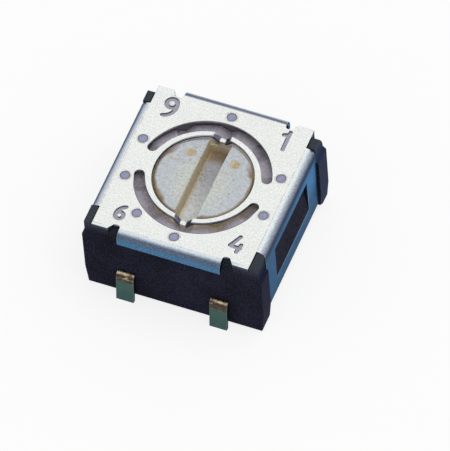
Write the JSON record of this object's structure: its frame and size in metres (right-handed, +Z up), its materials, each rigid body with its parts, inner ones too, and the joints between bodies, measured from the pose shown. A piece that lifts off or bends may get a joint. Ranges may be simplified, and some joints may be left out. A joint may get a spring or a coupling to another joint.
{
  "type": "rotary dip switch",
  "caption": "Square surface-mount rotary coded switch: black moulded body, bright windowed metal cover, slotted pale dial with detents, flat solder leads.",
  "frame": {"origin": "under the dial's axis, on the plane of the leads' cut ends", "axes": "+Z up out of the dial, +Y towards position 0 (the back), +X to the right seen from the front"},
  "size_m": [0.0098, 0.0102, 0.0053],
  "materials": {
    "housing": "black glass-filled thermoplastic, fine spark-eroded mould grain",
    "cover": "bright rolled stainless spring steel sheet, stamped",
    "rotor": "pale grey nylon, satin as moulded",
    "seal": "black nitrile rubber",
    "contact_metal": "gold-plated copper alloy strip",
    "lead_metal": "gold-flashed copper alloy strip, rolled and stamped"
  },
  "bodies": {
    "body": {"housing": "housing", "cover": "cover", "terminal_1": "lead_metal", "terminal_2": "lead_metal", "terminal_4": "lead_metal", "terminal_8": "lead_metal", "terminal_common": "lead_metal"},
    "dial": {"rotor": "rotor", "seal_ring": "seal", "code_disc": "contact_metal"}
  },
  "joints": [
    {"name": "dial_turn", "type": "hinge", "parent": "body", "child": "dial", "pos_m": [0, 0, 0.00516], "axis": [0, 0, -1], "continuous": true}
  ]
}
